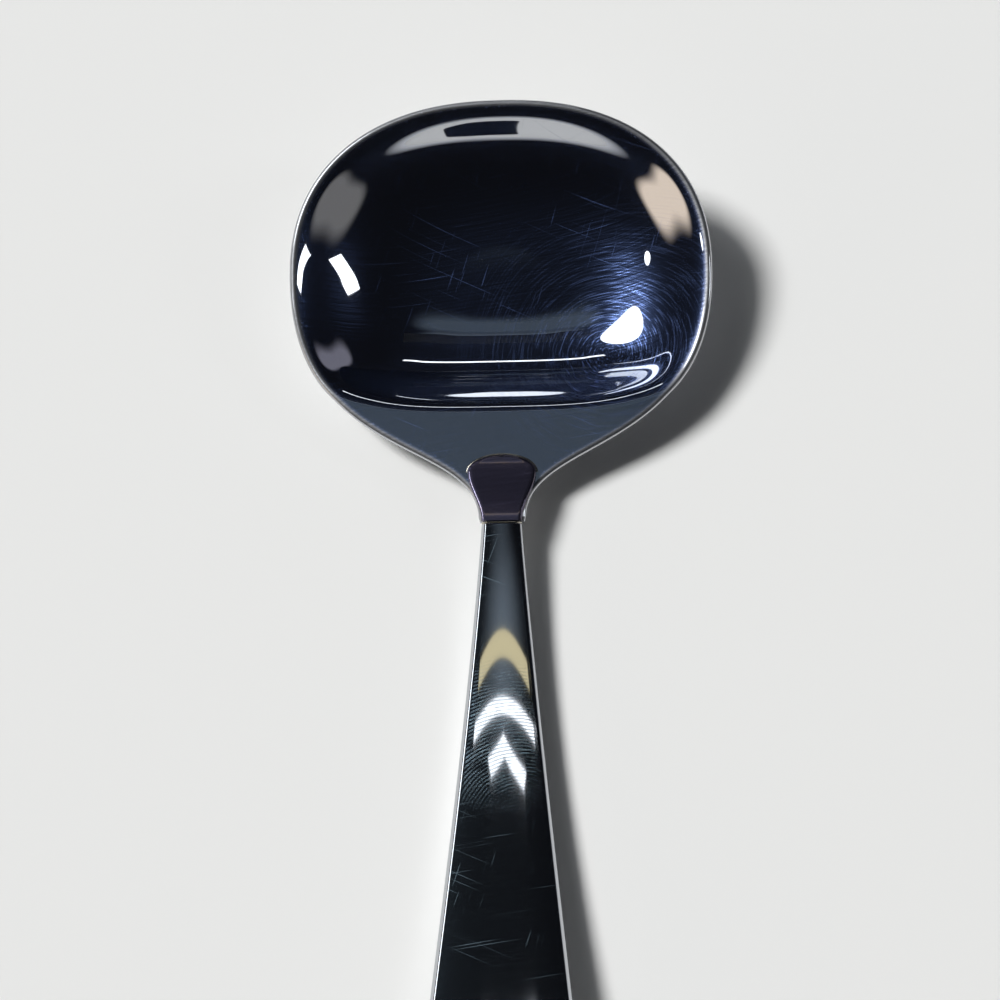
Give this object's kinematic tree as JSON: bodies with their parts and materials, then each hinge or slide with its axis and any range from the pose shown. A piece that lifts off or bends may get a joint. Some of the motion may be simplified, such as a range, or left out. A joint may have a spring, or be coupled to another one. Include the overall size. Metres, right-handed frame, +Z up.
{
  "type": "gravy ladle",
  "caption": "Polished steel gravy ladle: wide oval bowl with a rising apron, brazed through a tongue to a curved, flaring hollow handle; scoops and pours sauce.",
  "frame": {"origin": "Centre of the footprint's box, on the table that the ladle lies on.", "axes": "+Z is up from the table, +Y runs from the handle to the bowl's tip, and X is across: the ladle is symmetric about X = 0."},
  "size_m": [0.065, 0.1628, 0.0195],
  "materials": {
    "polished_steel": "mirror-polished stainless steel with fine scratches",
    "braze_alloy": "polished silver braze",
    "handle_cement": "matt resin cement"
  },
  "bodies": {
    "root": {"bowl": "polished_steel", "shank": "polished_steel", "tongue_braze": "braze_alloy", "mouth_braze": "braze_alloy", "handle_front_shell": "polished_steel", "handle_back_shell": "polished_steel", "handle_filler": "handle_cement"}
  },
  "joints": []
}
